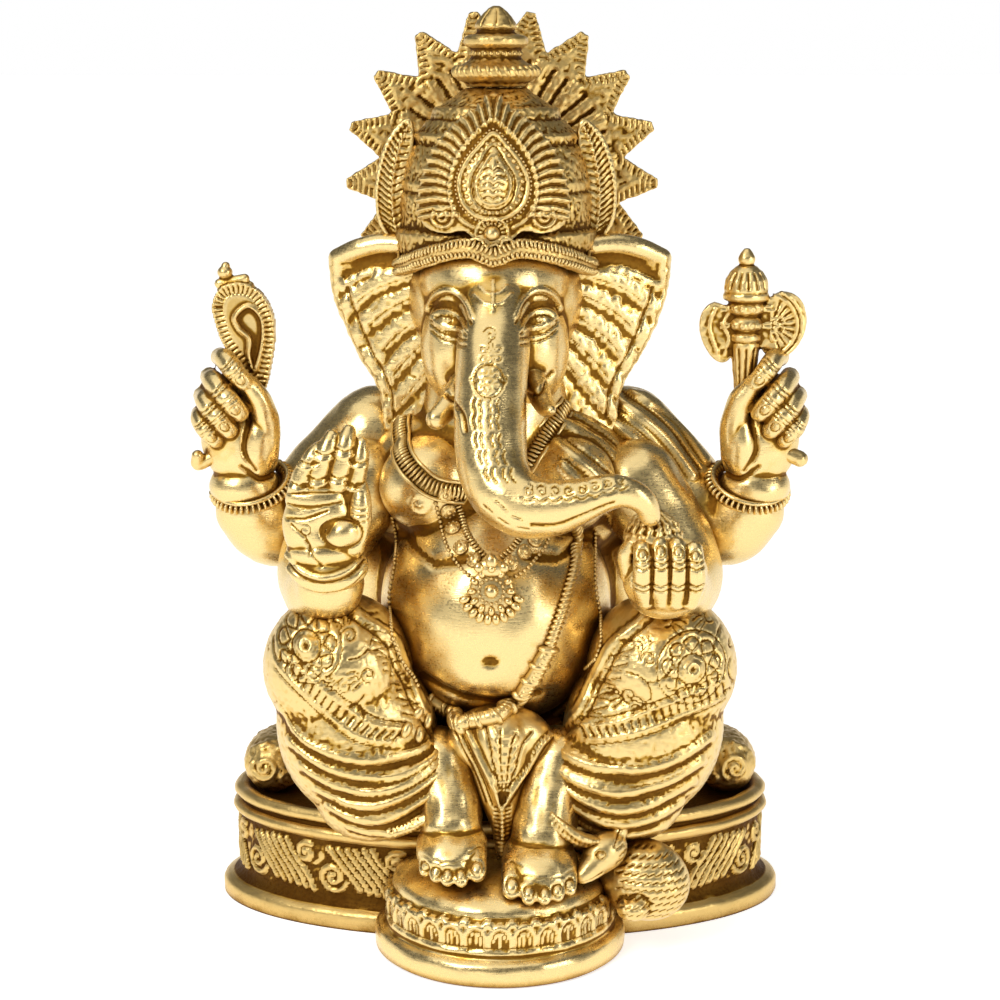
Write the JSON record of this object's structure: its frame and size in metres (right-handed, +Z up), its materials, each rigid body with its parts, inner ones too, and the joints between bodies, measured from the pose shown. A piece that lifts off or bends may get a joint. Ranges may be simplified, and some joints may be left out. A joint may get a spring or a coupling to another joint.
{
  "type": "seated ganesha idol",
  "caption": "Seated four-armed elephant-headed devotional figure in cast brass, with a tall crown and ray halo, on an oval plinth with a round footstool.",
  "frame": {"origin": "centre of the footprint at the underside of the plinth and footstool, which is the middle of the bounding box's bottom", "axes": "+Z up to the crown's tip, -Y to the front (the side the figure faces), +X to the viewer's right, so the figure's own left side is at +X"},
  "size_m": [0.155, 0.107, 0.228],
  "materials": {
    "antique_brass": "satin cast brass with darkened recesses",
    "polished_brass": "polished cast brass",
    "chased_brass": "chased cast brass, semi-polished"
  },
  "bodies": {
    "root": {"plinth": "antique_brass", "seat_bolster": "antique_brass", "crown": "antique_brass", "crown_finial": "antique_brass", "halo": "antique_brass", "halo_stub": "antique_brass", "halo_rivet": "antique_brass", "footstool": "polished_brass", "torso": "polished_brass", "right_foot": "polished_brass", "left_foot": "polished_brass", "rear_right_arm": "polished_brass", "rear_left_arm": "polished_brass", "rear_right_hand": "polished_brass", "rear_left_hand": "polished_brass", "front_right_arm": "polished_brass", "front_left_arm": "polished_brass", "blessing_hand": "polished_brass", "bowl_hand": "polished_brass", "head": "polished_brass", "right_ear": "polished_brass", "left_ear": "polished_brass", "right_leg": "chased_brass", "left_leg": "chased_brass", "loin_drape": "chased_brass", "noose": "chased_brass", "axe": "chased_brass", "modak": "chased_brass", "crown_crest": "chased_brass", "right_crown_leaf": "chased_brass", "left_crown_leaf": "chased_brass", "mouse": "chased_brass"}
  },
  "joints": []
}
